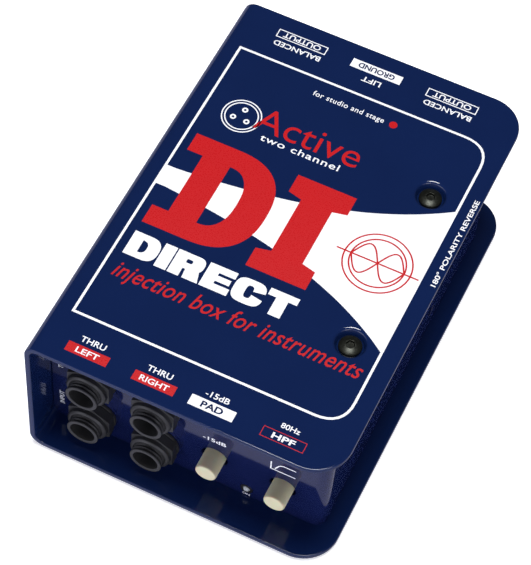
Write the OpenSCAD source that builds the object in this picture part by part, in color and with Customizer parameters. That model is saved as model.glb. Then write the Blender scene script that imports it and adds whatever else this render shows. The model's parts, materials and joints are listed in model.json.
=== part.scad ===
// Two-channel direct injection box: a folded steel cover round a steel chassis that carries
// the sockets, the push switches and the circuit board.
// +X is right and +Y is back, seen from the front where the jack sockets are. +Z is up.
// The origin is at the bottom centre, under the non-slip pad.

/* [Cover] */
// Width of the cover, left to right
body_w = 127; // [124:0.5:132]
// Length of the cover, front to back
body_l = 190; // [186:0.5:200]
// Height of the cover without the pad
cover_h = 70; // [69:0.5:74]
// Thickness of the cover's sheet
sheet_t = 2.3; // [1.9:0.1:2.6]
// Outer radius of the two bends in the cover
bend_r = 6; // [4:0.5:8]
// Corner radius of the plates at their free right-hand corners
plate_corner_r = 15; // [8:0.5:20]
// Thickness of the non-slip pad
pad_t = 1.5; // [1:0.1:3]
// How far the pad stays inside the bottom plate
pad_margin = 3; // [2:0.5:6]

/* [Chassis] */
// Thickness of the chassis sheet
panel_t = 2; // [1.6:0.1:2.2]
// How far the front and rear panels stand in from the ends of the cover
end_inset = 15.5; // [14:0.5:17]
// How far the right side panel stands in from the edge of the cover
side_inset = 7; // [6:0.5:8]
// Outer radius of the chassis corners
chassis_corner_r = 5; // [2.5:0.5:6]
// Space left between the cover and the chassis
chassis_gap = 0.2; // [0.1:0.05:0.3]

/* [Cover screws] */
// Distance of the screws right of the centre
screw_x = 44; // [42:0.5:45]
// Distance of the screws in front of and behind the centre
screw_y = 38.3; // [36:0.1:44]
// Diameter of the dimple's cone where it reaches the top
dimple_rim_d = 12.6; // [12.2:0.1:13.4]
// Radius of the dimple's rounded rim
dimple_rim_r = 1.4; // [1:0.1:1.6]
// Diameter of the dimple's flat floor
dimple_floor_d = 10.3; // [9.8:0.1:10.6]
// Depth of the dimple
dimple_depth = 3.2; // [3:0.1:3.4]

/* [Jack sockets] */
// Left pair's distance from the centre
left_jack_x = -42.4; // [-44:0.1:-41]
// Right pair's distance from the centre
right_jack_x = -15; // [-17:0.1:-14]
// Height of the lower sockets' axis
lower_jack_z = 17; // [16.5:0.1:18]
// Distance between the lower and upper sockets
jack_pitch = 25.3; // [25:0.1:26]
// How far the nose stands out from the front panel
nose_out = 11; // [10:0.1:12]
// Outer diameter of the nose
nose_d = 13.5; // [13:0.1:14]
// Diameter of the wide mouth in the nose
mouth_d = 10.4; // [9.5:0.1:10.6]
// Depth of the mouth
mouth_depth = 7; // [5:0.5:8]
// Diameter of the socket's bore
jack_bore_d = 6.5; // [6.4:0.05:6.6]

/* [Push buttons] */
// Pad button's distance from the centre
pad_x = 9.4; // [8:0.1:11]
// Filter button's distance from the centre
filter_x = 38.3; // [37:0.1:40]
// Height of the front and rear buttons
button_z = 22.5; // [22:0.1:23]
// Diameter of the button caps
cap_d = 8.9; // [8:0.1:9.5]
// How far a released cap stands out from its panel
cap_out = 8.3; // [7:0.1:9]
// Travel of the front and rear buttons
button_travel = 3; // [2:0.1:3.2]
// Polarity button's place along the side panel
polarity_y = 24.2; // [22:0.1:26]
// Polarity button's height
polarity_z = 17; // [16:0.1:18]
// Diameter of the polarity button
polarity_cap_d = 4.2; // [4:0.1:4.4]
// How deep the polarity button sits in its hole
polarity_recess = 1; // [0.8:0.1:1.2]
// Travel of the polarity button
polarity_travel = 2.5; // [2:0.1:2.6]

/* [Output sockets] */
// Distance of the output sockets left and right of the centre
xlr_x = 33; // [30:0.5:34]
// Height of the output sockets' axis
xlr_z = 43; // [42.5:0.1:44]
// Inner diameter of the output socket
xlr_bore_d = 19.2; // [19:0.1:19.4]
// Diameter of a contact pin
xlr_pin_d = 2.4; // [2.3:0.05:2.5]
// Radius of the circle on which the pins stand
xlr_pin_circle_r = 4.4; // [4.2:0.1:4.6]

/* [Light] */
// Light's distance from the centre
light_x = 23.6; // [22:0.1:25]
// Light's height
light_z = 8.9; // [8.8:0.1:9.2]
// Diameter of the light's hole in the front panel
light_hole_d = 5.2; // [5:0.1:5.4]

/* [Hidden] */
$fn = 48;
// Overlap that makes a cut break through its face
cut = 0.5;
// Clearance between pieces that only stand beside each other
slip = 0.1;

// Cover and chassis
cover_top_z = pad_t + cover_h;
plate_under_z = cover_top_z - sheet_t;
floor_z = pad_t + sheet_t;
floor_top_z = floor_z + panel_t;
cover_mid_z = pad_t + cover_h / 2;
cover_left_x = -body_w / 2;
cover_right_x = body_w / 2;
front_y = -(body_l / 2 - end_inset);
rear_y = -front_y;
side_x = cover_right_x - side_inset;
chassis_left_x = cover_left_x + sheet_t + chassis_gap;
chassis_top_z = plate_under_z - chassis_gap;

// Cover screws
screw_shank_d = 4.2;
screw_head_d = 9.2;
screw_head_h = 2.6;
screw_hole_d = 4.7;
screw_socket_d = 3.6;
dimple_floor_z = cover_top_z - dimple_depth;
dimple_under_z = dimple_floor_z - sheet_t * 0.85;
tab_w = 16;
tab_inner_x = screw_x - 8;
tab_top_z = dimple_under_z - chassis_gap;
tab_under_z = tab_top_z - panel_t;
nut_h = 5;
nut_d = 8;
nut_bore_d = screw_shank_d + slip;
countersink_d = 8.2;
countersink_h = 1.9;

// Circuit board
board_t = 1.6;
board_mid_z = lower_jack_z + jack_pitch / 2;
board_under_z = board_mid_z - board_t / 2;
board_top_z = board_mid_z + board_t / 2;
board_left_x = -58;
board_right_x = 52.5;
board_front_y = front_y + panel_t + 1;
board_back_y = rear_y - panel_t - 3;
standoff_spots = [[-53, -42], [48, -58], [-53, 50], [48, 60]];
standoff_d = 6;
board_screw_d = 3;
board_screw_head_d = 5.6;
board_screw_head_h = 2;
board_screw_l = 8;
lead_w = 0.7;
lead_hole_w = 0.9;
lead_stub = 1.2;

// Jack sockets: each spot is [x, z, direction from the board], upper sockets pointing up
upper_jack_z = lower_jack_z + jack_pitch;
jack_spots = [
    [left_jack_x, upper_jack_z, 1],
    [left_jack_x, lower_jack_z, -1],
    [right_jack_x, upper_jack_z, 1],
    [right_jack_x, lower_jack_z, -1]
];
jack_drop = jack_pitch / 2 - board_t / 2;
jack_body_w = 17;
jack_body_l = 27.5;
jack_body_rise = 8.5;
nose_hole_d = nose_d + 0.3;
thread_pitch = 1.4;
thread_groove_w = 0.6;
thread_depth = 0.45;
thread_turns = 2;
jack_wall = 3;
contact_t = 0.4;
contact_w = 3;
washer_t = 1.2;
hex_t = 4.1;
collar_t = 2.5;
collar_d = 17;
hex_across_corners = 20.6;

// Push switches: each spot is [x, y, z, turn], and the plunger points along the switch's own -Y
switch_w = 9;
switch_l = 16;
switch_drop = 4.4;
switch_wall = 1.2;
slider_w = 6.2;
slider_l = 4;
slider_gap = 0.2;
stem_w = 3.2;
polarity_stem_w = 2.2;
cap_tail = 2.3;
cap_socket = 6;
polarity_cap_socket = 3;
polarity_cap_l = 5;
press_gap = 1.2;
switch_setback = panel_t + cap_tail + button_travel + press_gap;
polarity_face_x = side_x - polarity_recess - polarity_cap_l - polarity_travel - 1;
pad_switch = [pad_x, front_y + switch_setback, button_z, 0];
filter_switch = [filter_x, front_y + switch_setback, button_z, 0];
lift_switch = [0, rear_y - switch_setback, button_z, 180];
polarity_switch = [polarity_face_x, polarity_y, polarity_z, 90];
switch_spots = [pad_switch, filter_switch, lift_switch, polarity_switch];
button_hole_d = cap_d + 2;
polarity_hole_d = polarity_cap_d + 0.8;
switch_pin_spots = [for (x = [-2.5, 2.5]) for (y = [4, 8, 12]) [x, y]];
spring_coil_r = 2.1;
spring_wire_r = 0.3;
spring_turns = 5;

// Output sockets
xlr_flange_w = 26;
xlr_flange_h = 31;
xlr_flange_t = 2.2;
xlr_barrel_d = 23.6;
xlr_depth = 15.5;
xlr_back_t = 2;
xlr_insert_t = 4;
xlr_pin_angles = [30, 150, 270];
xlr_pin_tip_y = 1;
xlr_pin_tip_l = 0.8;
xlr_pin_back_y = -20;
xlr_pin_back_d = 2;
xlr_screw_spots = [[-9.5, 12], [9.5, -12]];
xlr_screw_d = 2.9;

// Light
lens_d = 3;
lens_tip_y = front_y - 1;
lead_drop_y = front_y + 5;

// ---------- Shared shapes ----------

// A block between two opposite corners
module block(low, high) {
    translate(low) cube(high - low);
}

// A rod along Y from y = from_y to y = to_y
module rod_y(x, z, from_y, to_y, d) {
    translate([x, from_y, z]) rotate([-90, 0, 0]) cylinder(h = to_y - from_y, d = d);
}

// A cone along Y that changes from diameter d_from to diameter d_to
module cone_y(x, z, from_y, to_y, d_from, d_to) {
    translate([x, from_y, z]) rotate([-90, 0, 0]) cylinder(h = to_y - from_y, d1 = d_from, d2 = d_to);
}

// A flat outline from x = 0 to x = length whose two far corners are round
module two_round_corners(length, width, r) {
    translate([0, -width / 2]) square([length - r, width]);
    translate([0, r - width / 2]) square([length, width - 2 * r]);
    for (s = [-1, 1]) translate([length - r, s * (width / 2 - r)]) circle(r);
}

// A centred rectangle with four round corners
module round_rectangle(width, height, r) {
    square([width, height - 2 * r], center = true);
    square([width - 2 * r, height], center = true);
    for (x = [-1, 1], y = [-1, 1]) translate([x * (width / 2 - r), y * (height / 2 - r)]) circle(r);
}

// A six-sided recess or head, given across its corners
module hexagon(h, across_corners) {
    cylinder(h = h, d = across_corners, $fn = 6);
}

// A coil spring along Z: a six-sided wire swept round a helix and closed at both ends
module coil_spring(length, coil_r, wire_r, turns) {
    steps = 12 * turns;
    sides = 6;
    rise = length - 2 * wire_r;
    points = [
        for (i = [0:steps]) for (k = [0:sides - 1])
            let (turn = 360 * i / 12, round = 360 * k / sides, reach = coil_r + wire_r * cos(round))
            [reach * cos(turn), reach * sin(turn), wire_r + rise * i / steps + wire_r * sin(round)]
    ];
    walls = [
        for (i = [0:steps - 1]) for (k = [0:sides - 1])
            let (a = i * sides + k, b = i * sides + (k + 1) % sides)
            [a, a + sides, b + sides, b]
    ];
    start_cap = [for (k = [0:sides - 1]) k];
    end_cap = [for (k = [sides - 1:-1:0]) steps * sides + k];
    polyhedron(points = points, faces = concat(walls, [start_cap, end_cap]));
}

// ---------- Cover ----------

// Section across the cover: a C that opens to the right
module cover_section() {
    difference() {
        translate([cover_right_x, cover_mid_z]) mirror([1, 0])
            two_round_corners(body_w, cover_h, bend_r);
        translate([cover_right_x + cut, cover_mid_z]) mirror([1, 0])
            two_round_corners(body_w + cut - sheet_t, cover_h - 2 * sheet_t, bend_r - sheet_t);
    }
}

// Space of a dimple over its floor: a cone whose rim is rounded over
module dimple_space() {
    lean = atan((dimple_rim_d - dimple_floor_d) / 2 / dimple_depth);
    rim_centre_r = dimple_rim_d / 2 + dimple_rim_r * (1 - sin(lean)) / cos(lean);
    rotate_extrude() difference() {
        polygon([
            [0, 0],
            [dimple_floor_d / 2, 0],
            [rim_centre_r - dimple_rim_r * cos(lean), dimple_depth - dimple_rim_r * (1 - sin(lean))],
            [rim_centre_r, dimple_depth],
            [rim_centre_r, dimple_depth + cut],
            [0, dimple_depth + cut]]);
        translate([rim_centre_r, dimple_depth - dimple_rim_r]) circle(dimple_rim_r);
    }
}

module outer_shell() {
    color("#16224e") difference() {
        union() {
            intersection() {
                translate([0, body_l / 2, 0]) rotate([90, 0, 0]) linear_extrude(body_l) cover_section();
                translate([cover_left_x - cut, 0, 0]) linear_extrude(cover_top_z + cut)
                    two_round_corners(body_w + cut, body_l, plate_corner_r);
            }
            for (s = [-1, 1]) translate([screw_x, s * screw_y, dimple_under_z])
                cylinder(h = plate_under_z + cut - dimple_under_z, d1 = dimple_floor_d + 2.4, d2 = dimple_rim_d + 3);
        }
        for (s = [-1, 1]) translate([screw_x, s * screw_y, 0]) {
            translate([0, 0, dimple_floor_z]) dimple_space();
            translate([0, 0, plate_under_z - 2 * dimple_depth])
                cylinder(h = 3 * dimple_depth, d = screw_hole_d);
            translate([0, 0, pad_t - cut]) cylinder(h = sheet_t + 2 * cut, d = screw_hole_d);
            translate([0, 0, pad_t]) cylinder(h = countersink_h, d1 = countersink_d, d2 = screw_hole_d);
            translate([0, 0, pad_t - cut]) cylinder(h = cut + 0.01, d = countersink_d);
        }
    }
}

module base_pad() {
    color("#1b1b1d") difference() {
        translate([cover_left_x + bend_r, 0, 0]) linear_extrude(pad_t)
            two_round_corners(body_w - bend_r - pad_margin, body_l - 2 * pad_margin, plate_corner_r - pad_margin);
        for (s = [-1, 1]) translate([screw_x, s * screw_y, -cut])
            cylinder(h = pad_t + 2 * cut, d = countersink_d + 1);
    }
}

// ---------- Chassis ----------

// Outline of the chassis walls seen from above, drawn in by a margin
module chassis_outline(margin) {
    translate([chassis_left_x - (margin > 0 ? cut : 0), 0])
        two_round_corners(
            side_x - chassis_left_x - margin + (margin > 0 ? cut : 0),
            rear_y - front_y - 2 * margin,
            chassis_corner_r - margin);
}

// Front, side and rear panels with the floor, trimmed to clear the cover's two bends
module chassis_box() {
    intersection() {
        union() {
            translate([0, 0, floor_z]) linear_extrude(panel_t) chassis_outline(0);
            translate([0, 0, floor_z]) linear_extrude(chassis_top_z - floor_z) difference() {
                chassis_outline(0);
                chassis_outline(panel_t);
            }
        }
        translate([cover_right_x, rear_y + cut, cover_mid_z]) rotate([90, 0, 0])
            linear_extrude(rear_y - front_y + 2 * cut) mirror([1, 0])
            two_round_corners(cover_right_x - chassis_left_x, cover_h - 2 * sheet_t, bend_r - sheet_t);
    }
}

// Welded tab under each dimple of the cover
module chassis_tab(y) {
    block([tab_inner_x, y - tab_w / 2, tab_under_z], [side_x - panel_t + cut, y + tab_w / 2, tab_top_z]);
}

module front_panel_holes() {
    from_y = front_y - cut;
    to_y = front_y + panel_t + cut;
    for (spot = jack_spots) rod_y(spot[0], spot[1], from_y, to_y, nose_hole_d);
    rod_y(pad_x, button_z, from_y, to_y, button_hole_d);
    rod_y(filter_x, button_z, from_y, to_y, button_hole_d);
    rod_y(light_x, light_z, from_y, to_y, light_hole_d);
}

module rear_panel_holes() {
    from_y = rear_y - panel_t - cut;
    to_y = rear_y + cut;
    rod_y(0, button_z, from_y, to_y, button_hole_d);
    for (x = [-xlr_x, xlr_x]) {
        rod_y(x, xlr_z, from_y, to_y, xlr_barrel_d + 0.4);
        for (spot = xlr_screw_spots) rod_y(x + spot.x, xlr_z + spot.y, from_y, to_y, xlr_screw_d + slip);
    }
}

module side_panel_hole() {
    translate([side_x - panel_t - cut, polarity_y, polarity_z]) rotate([0, 90, 0])
        cylinder(h = panel_t + 2 * cut, d = polarity_hole_d);
}

module inner_chassis() {
    color("#1b2447") difference() {
        union() {
            chassis_box();
            for (s = [-1, 1]) chassis_tab(s * screw_y);
        }
        front_panel_holes();
        rear_panel_holes();
        side_panel_hole();
        for (s = [-1, 1]) {
            translate([screw_x, s * screw_y, floor_z - cut]) cylinder(h = panel_t + 2 * cut, d = screw_hole_d);
            translate([screw_x, s * screw_y, tab_under_z - cut]) cylinder(h = panel_t + 2 * cut, d = screw_hole_d);
        }
    }
}

// ---------- Cover screws and nuts ----------

// Button-head screw, its head in the dimple and its shank pointing down
module button_head_screw() {
    difference() {
        union() {
            rotate_extrude() intersection() {
                square([screw_head_d / 2, screw_head_h]);
                translate([0, screw_head_h - screw_head_d]) circle(screw_head_d);
            }
            translate([0, 0, tab_under_z - nut_h + 1 - dimple_floor_z])
                cylinder(h = dimple_floor_z + nut_h - 1 - tab_under_z + 0.01, d = screw_shank_d);
        }
        translate([0, 0, screw_head_h - 1.5]) hexagon(2, screw_socket_d);
    }
}

module top_shell_screws() {
    color("#141415") for (s = [-1, 1]) translate([screw_x, s * screw_y, dimple_floor_z])
        button_head_screw();
}

// Countersunk screw, flush with the bottom plate and pointing up
module countersunk_screw() {
    shank_l = sheet_t + panel_t + nut_h - 1;
    difference() {
        union() {
            cylinder(h = countersink_h - slip, d1 = countersink_d - 2 * slip, d2 = screw_shank_d);
            cylinder(h = shank_l, d = screw_shank_d);
        }
        translate([0, 0, -cut]) hexagon(1.4 + cut, screw_socket_d - 0.4);
    }
}

module bottom_shell_screws() {
    color("#141415") for (s = [-1, 1]) translate([screw_x, s * screw_y, pad_t])
        countersunk_screw();
}

// Round press nut with its threaded hole
module press_nut() {
    difference() {
        cylinder(h = nut_h, d = nut_d);
        translate([0, 0, -cut]) cylinder(h = nut_h + 2 * cut, d = nut_bore_d);
    }
}

module press_nuts() {
    color("silver") for (s = [-1, 1]) translate([screw_x, s * screw_y, 0]) {
        translate([0, 0, tab_under_z - nut_h]) press_nut();
        translate([0, 0, floor_top_z]) press_nut();
    }
}

// ---------- Circuit board ----------

module place_switch(spot) {
    translate([spot[0], spot[1], spot[2]]) rotate([0, 0, spot[3]]) children();
}

// A square upright lead or hole centred on the origin
module upright(width, low_z, high_z) {
    translate([-width / 2, -width / 2, low_z]) cube([width, width, high_z - low_z]);
}

// Contact tails of a jack socket, as [x, y] behind the front panel's face
jack_tail_spots = [[0, 24.7], [4.7, 19.7], [0, 13.7]];

module board_holes() {
    low = board_under_z - cut;
    high = board_top_z + cut;
    for (spot = switch_spots) place_switch([spot[0], spot[1], 0, spot[3]])
        for (pin = switch_pin_spots) translate([pin.x, pin.y, 0]) upright(lead_hole_w, low, high);
    for (x = [left_jack_x, right_jack_x]) for (tail = jack_tail_spots)
        translate([x + tail.x, front_y + tail.y, 0]) upright(lead_hole_w, low, high);
    for (x = [-xlr_x, xlr_x]) for (angle = xlr_pin_angles)
        translate([x + xlr_pin_circle_r * cos(angle), rear_y + xlr_pin_back_y + 0.5, 0])
            upright(lead_hole_w + 0.3, low, high);
    for (x = [-1.27, 1.27]) translate([light_x + x, lead_drop_y, 0]) upright(lead_hole_w, low, high);
    for (spot = standoff_spots) translate([spot.x, spot.y, low])
        cylinder(h = high - low, d = board_screw_d + 0.2);
}

module main_board() {
    color("#1c6b3c") difference() {
        block([board_left_x, board_front_y, board_under_z], [board_right_x, board_back_y, board_top_z]);
        board_holes();
    }
}

module board_standoffs() {
    color("silver") for (spot = standoff_spots) translate([spot.x, spot.y, floor_top_z]) difference() {
        hexagon(board_under_z - floor_top_z, standoff_d);
        translate([0, 0, board_under_z - floor_top_z - board_screw_l])
            cylinder(h = board_screw_l + cut, d = board_screw_d + slip);
    }
}

module board_screws() {
    color("silver") for (spot = standoff_spots) translate([spot.x, spot.y, board_top_z]) difference() {
        union() {
            cylinder(h = board_screw_head_h, d = board_screw_head_d);
            translate([0, 0, 1 - board_screw_l]) cylinder(h = board_screw_l, d = board_screw_d);
        }
        for (turn = [0, 90]) rotate([0, 0, turn])
            translate([-1.6, -0.3, board_screw_head_h - 1]) cube([3.2, 0.6, 2]);
    }
}

// ---------- Jack sockets ----------

// Places a socket with its axis on the spot; its own +Z points away from the board
module place_jack(spot) {
    translate([spot[0], front_y, spot[1]]) mirror([0, 0, spot[2] > 0 ? 0 : 1]) children();
}

// One turn of the nose's thread, cut as a plain ring from y = from_y backwards
module thread_groove(from_y) {
    difference() {
        rod_y(0, 0, from_y, from_y + thread_groove_w, nose_d + cut);
        rod_y(0, 0, from_y - cut, from_y + thread_groove_w + cut, nose_d - 2 * thread_depth);
    }
}

module jack_body() {
    half = jack_body_w / 2;
    difference() {
        union() {
            block([-half, panel_t, -jack_drop], [half, panel_t + jack_body_l, jack_body_rise]);
            rod_y(0, 0, -nose_out, panel_t + cut, nose_d);
        }
        for (i = [1:thread_turns]) thread_groove(i * thread_pitch - nose_out - 0.3);
        rod_y(0, 0, -nose_out - cut, mouth_depth - nose_out, mouth_d);
        rod_y(0, 0, -nose_out, panel_t + jack_wall + cut, jack_bore_d);
        block([-6, panel_t + jack_wall, -7.5], [6, panel_t + jack_body_l - 2, 6.5]);
        for (tail = jack_tail_spots) translate([tail.x, tail.y, 0])
            upright(contact_w + 0.4, -jack_drop - cut, -7.4);
    }
}

// Tip, ring and sleeve springs with their solder tails
module jack_contacts() {
    half = contact_w / 2;
    tail_z = -jack_drop - board_t / 2 + 0.05;
    block([-half, 12, 4.6], [half, 24.9, 4.6 + contact_t]);
    block([-half, 14, 3.5], [half, 15.2, 4.7]);
    block([-half, 24.5, -8], [half, 24.9, 4.9]);
    block([-half, 5.4, -5], [half, 13.9, -5 + contact_t]);
    block([-half, 7, -4.7], [half, 8.2, -3.5]);
    block([-half, 13.5, -8], [half, 13.9, -4.7]);
    block([4.6, 8, -half], [4.6 + contact_t, 19.9, half]);
    block([3.5, 10, -half], [4.7, 11.2, half]);
    block([4.6, 19.5, -8], [4.6 + contact_t, 19.9, half]);
    for (tail = jack_tail_spots) translate([tail.x, tail.y, 0]) upright(lead_w, tail_z, -7.9);
}

// Nut with a hexagon at the panel and a chamfered round collar in front of it
module jack_nut() {
    hex_y = -washer_t - hex_t;
    difference() {
        union() {
            translate([0, hex_y, 0]) rotate([-90, 30, 0]) hexagon(hex_t, hex_across_corners);
            rod_y(0, 0, hex_y - collar_t + 0.8, hex_y + 0.01, collar_d);
            cone_y(0, 0, hex_y - collar_t, hex_y - collar_t + 0.81, collar_d - 1.6, collar_d);
        }
        rod_y(0, 0, hex_y - collar_t - cut, cut, nose_d + slip);
    }
}

module jack_washer() {
    difference() {
        rod_y(0, 0, -washer_t, 0, 19);
        rod_y(0, 0, -washer_t - cut, cut, nose_d + 0.3);
    }
}

module jack_nuts() {
    color("#2b2b2d") for (spot = jack_spots) place_jack(spot) jack_nut();
}

module jack_washers() {
    color("#202022") for (spot = jack_spots) place_jack(spot) jack_washer();
}

// ---------- Push switches ----------

// Housing with its plunger opening at y = 0; rise is the height of its top over the axis
module switch_body(rise, opening_w) {
    half = switch_w / 2;
    room = slider_w / 2 + 0.2;
    difference() {
        block([-half, 0, -switch_drop], [half, switch_l, rise]);
        block([-room, switch_wall, -room], [room, switch_l - switch_wall, room]);
        block([-opening_w / 2, -cut, -opening_w / 2], [opening_w / 2, switch_wall + cut, opening_w / 2]);
    }
}

// Slider inside the housing with a square stem that reaches forward into the cap
module switch_plunger(width, reach) {
    front = switch_wall + slider_gap;
    block([-slider_w / 2, front, -slider_w / 2], [slider_w / 2, front + slider_l, slider_w / 2]);
    block([-width / 2, -reach, -width / 2], [width / 2, front + 0.01, width / 2]);
}

// Return spring between the slider and the back of the housing
module switch_spring() {
    front = switch_wall + slider_gap + slider_l;
    translate([0, front, 0]) rotate([-90, 0, 0])
        coil_spring(switch_l - switch_wall - front, spring_coil_r, spring_wire_r, spring_turns);
}

// Cap whose back stands tail_gap in front of the switch, with a square socket for the stem
module button_cap(d, length, tail_gap, stem, socket, edge) {
    front = -tail_gap - length;
    difference() {
        union() {
            cone_y(0, 0, front, front + edge, d - 2 * edge, d);
            rod_y(0, 0, front + edge - 0.01, -tail_gap, d);
        }
        block([-stem / 2 - 0.05, -tail_gap - socket, -stem / 2 - 0.05],
              [stem / 2 + 0.05, -tail_gap + cut, stem / 2 + 0.05]);
    }
}

cap_gap = button_travel + press_gap;
polarity_cap_gap = polarity_travel + 1;

module large_switch_body(spot) {
    color("#26262a") place_switch(spot) switch_body(board_under_z - spot[2], stem_w + 0.4);
}

module large_plunger(spot) {
    color("#d8d6cc") place_switch(spot) switch_plunger(stem_w, cap_gap + cap_socket);
}

module large_cap(spot) {
    color("#cfccb4") place_switch(spot)
        button_cap(cap_d, cap_out + panel_t + cap_tail, cap_gap, stem_w, cap_socket, 0.4);
}

module any_spring(spot) {
    color("silver") place_switch(spot) switch_spring();
}

module polarity_switch_body() {
    color("#26262a") place_switch(polarity_switch)
        switch_body(board_under_z - polarity_z, polarity_stem_w + 0.4);
}

module polarity_switch_plunger() {
    color("#d8d6cc") place_switch(polarity_switch)
        switch_plunger(polarity_stem_w, polarity_cap_gap + polarity_cap_socket);
}

module polarity_button_cap() {
    color("#1c1c1e") place_switch(polarity_switch)
        button_cap(polarity_cap_d, polarity_cap_l, polarity_cap_gap, polarity_stem_w, polarity_cap_socket, 0.3);
}

// Six solder pins on top of each switch
module switch_pins() {
    color("silver") for (spot = switch_spots) place_switch([spot[0], spot[1], 0, spot[3]])
        for (pin = switch_pin_spots) translate([pin.x, pin.y, 0])
            upright(lead_w, board_under_z, board_top_z + lead_stub);
}

// ---------- Light ----------

module power_light() {
    color("#d9dde0") {
        rod_y(light_x, light_z, lens_tip_y + lens_d / 2, front_y + 3.4, lens_d);
        translate([light_x, lens_tip_y + lens_d / 2, light_z]) sphere(d = lens_d);
        rod_y(light_x, light_z, front_y + 2.4, front_y + 3.4, 3.8);
    }
}

module light_bezel() {
    color("#101012") difference() {
        rod_y(light_x, light_z, front_y - 0.3, front_y + 2.4, light_hole_d - slip);
        rod_y(light_x, light_z, front_y - 0.3 - cut, front_y + 2.4 + cut, lens_d + 0.2);
    }
}

module light_leads() {
    half = 0.25;
    color("silver") for (x = [-1.27, 1.27]) {
        block([light_x + x - half, front_y + 3.4, light_z - half],
              [light_x + x + half, lead_drop_y + half, light_z + half]);
        translate([light_x + x, lead_drop_y, 0]) upright(2 * half, light_z - half, board_top_z + 0.6);
    }
}

// ---------- Output sockets ----------

module place_xlr(side) {
    translate([side * xlr_x, rear_y, xlr_z]) children();
}

module xlr_housing() {
    difference() {
        union() {
            translate([0, xlr_flange_t, 0]) rotate([90, 0, 0]) linear_extrude(xlr_flange_t)
                round_rectangle(xlr_flange_w, xlr_flange_h, 3);
            rod_y(0, 0, 0, xlr_flange_t + 1, xlr_bore_d + 2.4);
            rod_y(0, 0, -xlr_depth - xlr_back_t, 0.01, xlr_barrel_d);
        }
        rod_y(0, 0, -xlr_depth, xlr_flange_t + 1 + cut, xlr_bore_d);
        for (angle = xlr_pin_angles)
            rod_y(xlr_pin_circle_r * cos(angle), xlr_pin_circle_r * sin(angle),
                  -xlr_depth - xlr_back_t - cut, -xlr_depth + cut, xlr_pin_back_d + 2 * slip);
        for (spot = xlr_screw_spots) rod_y(spot.x, spot.y, -cut, xlr_flange_t + cut, xlr_screw_d + 0.3);
    }
    // Key rib at the bottom of the socket
    block([-1.2, -xlr_depth + xlr_insert_t + slip, -xlr_bore_d / 2 - 0.3], [1.2, 0, 1.2 - xlr_bore_d / 2]);
}

// Moulded disc that holds the pins at the bottom of the socket
module xlr_insert() {
    difference() {
        rod_y(0, 0, -xlr_depth, -xlr_depth + xlr_insert_t, xlr_bore_d - slip);
        for (angle = xlr_pin_angles)
            rod_y(xlr_pin_circle_r * cos(angle), xlr_pin_circle_r * sin(angle),
                  -xlr_depth - cut, -xlr_depth + xlr_insert_t + cut, xlr_pin_back_d + slip);
    }
}

// Three round pins with a shoulder on the insert, each turned down into the board behind the housing
module xlr_pins() {
    shoulder_y = -xlr_depth + xlr_insert_t;
    for (angle = xlr_pin_angles) {
        x = xlr_pin_circle_r * cos(angle);
        z = xlr_pin_circle_r * sin(angle);
        rod_y(x, z, xlr_pin_back_y, shoulder_y + 0.01, xlr_pin_back_d);
        rod_y(x, z, shoulder_y, xlr_pin_tip_y - xlr_pin_tip_l, xlr_pin_d);
        cone_y(x, z, xlr_pin_tip_y - xlr_pin_tip_l, xlr_pin_tip_y, xlr_pin_d, xlr_pin_d - 1);
        translate([x, xlr_pin_back_y + 0.5, 0]) upright(0.9, board_under_z - xlr_z - lead_stub, z);
    }
}

module xlr_screws() {
    color("#18181a") for (side = [-1, 1]) place_xlr(side) for (spot = xlr_screw_spots)
        translate([spot.x, xlr_flange_t, spot.y]) rotate([-90, 0, 0]) difference() {
            union() {
                cylinder(h = 1.6, d1 = 5.4, d2 = 4.2);
                translate([0, 0, -6]) cylinder(h = 6.01, d = xlr_screw_d);
            }
            for (turn = [0, 90]) rotate([0, 0, turn]) translate([-1.4, -0.3, 0.7]) cube([2.8, 0.6, 2]);
        }
}

// ---------- Parts on the board ----------

// Eight-legged chips in one row
module amplifier_chips() {
    color("#1a1a1c") for (x = [-44, -24, -4, 16]) translate([x, -38, board_top_z]) {
        translate([-4.8, -3.2, 0.8]) cube([9.6, 6.4, 3.2]);
        for (i = [0:3]) for (s = [-1, 1])
            translate([-3.81 + 2.54 * i - 0.3, s * 3.3 - 0.25, 0]) cube([0.6, 0.5, 2.2]);
    }
}

module electrolytic_capacitors() {
    color("#20305c") for (x = [-44:13:21]) for (y = [-14, 36]) translate([x, y, board_top_z]) {
        cylinder(h = 11, d = 8);
        translate([0, 0, 11 - 0.01]) cylinder(h = 0.5, d1 = 8, d2 = 7);
    }
}

module film_capacitors() {
    color("#b3352c") for (x = [-44:11:11]) translate([x - 3.6, -1.5, board_top_z]) cube([7.2, 3, 7]);
}

// Film resistors lying along X, each with its two bent leads
module resistors() {
    color("#6f9fb8") for (x = [-42:14:28]) for (y = [10, 16, 22]) translate([x, y, board_top_z]) {
        translate([-3.1, 0, 1.6]) rotate([0, 90, 0]) cylinder(h = 6.2, d = 2.4);
        for (s = [-1, 1]) {
            translate([s * 4 - 1.1, -0.25, 1.35]) cube([2.2, 0.5, 0.5]);
            translate([s * 5 - 0.25, -0.25, 0]) cube([0.5, 0.5, 1.85]);
        }
    }
}

// Ring-shaped coil of the power supply, standing on the board
module power_coil() {
    color("#a5582a") translate([36, 2, board_top_z + 2.5]) rotate_extrude() translate([6, 0]) circle(2.5);
}

// ---------- Nodes ----------

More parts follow.
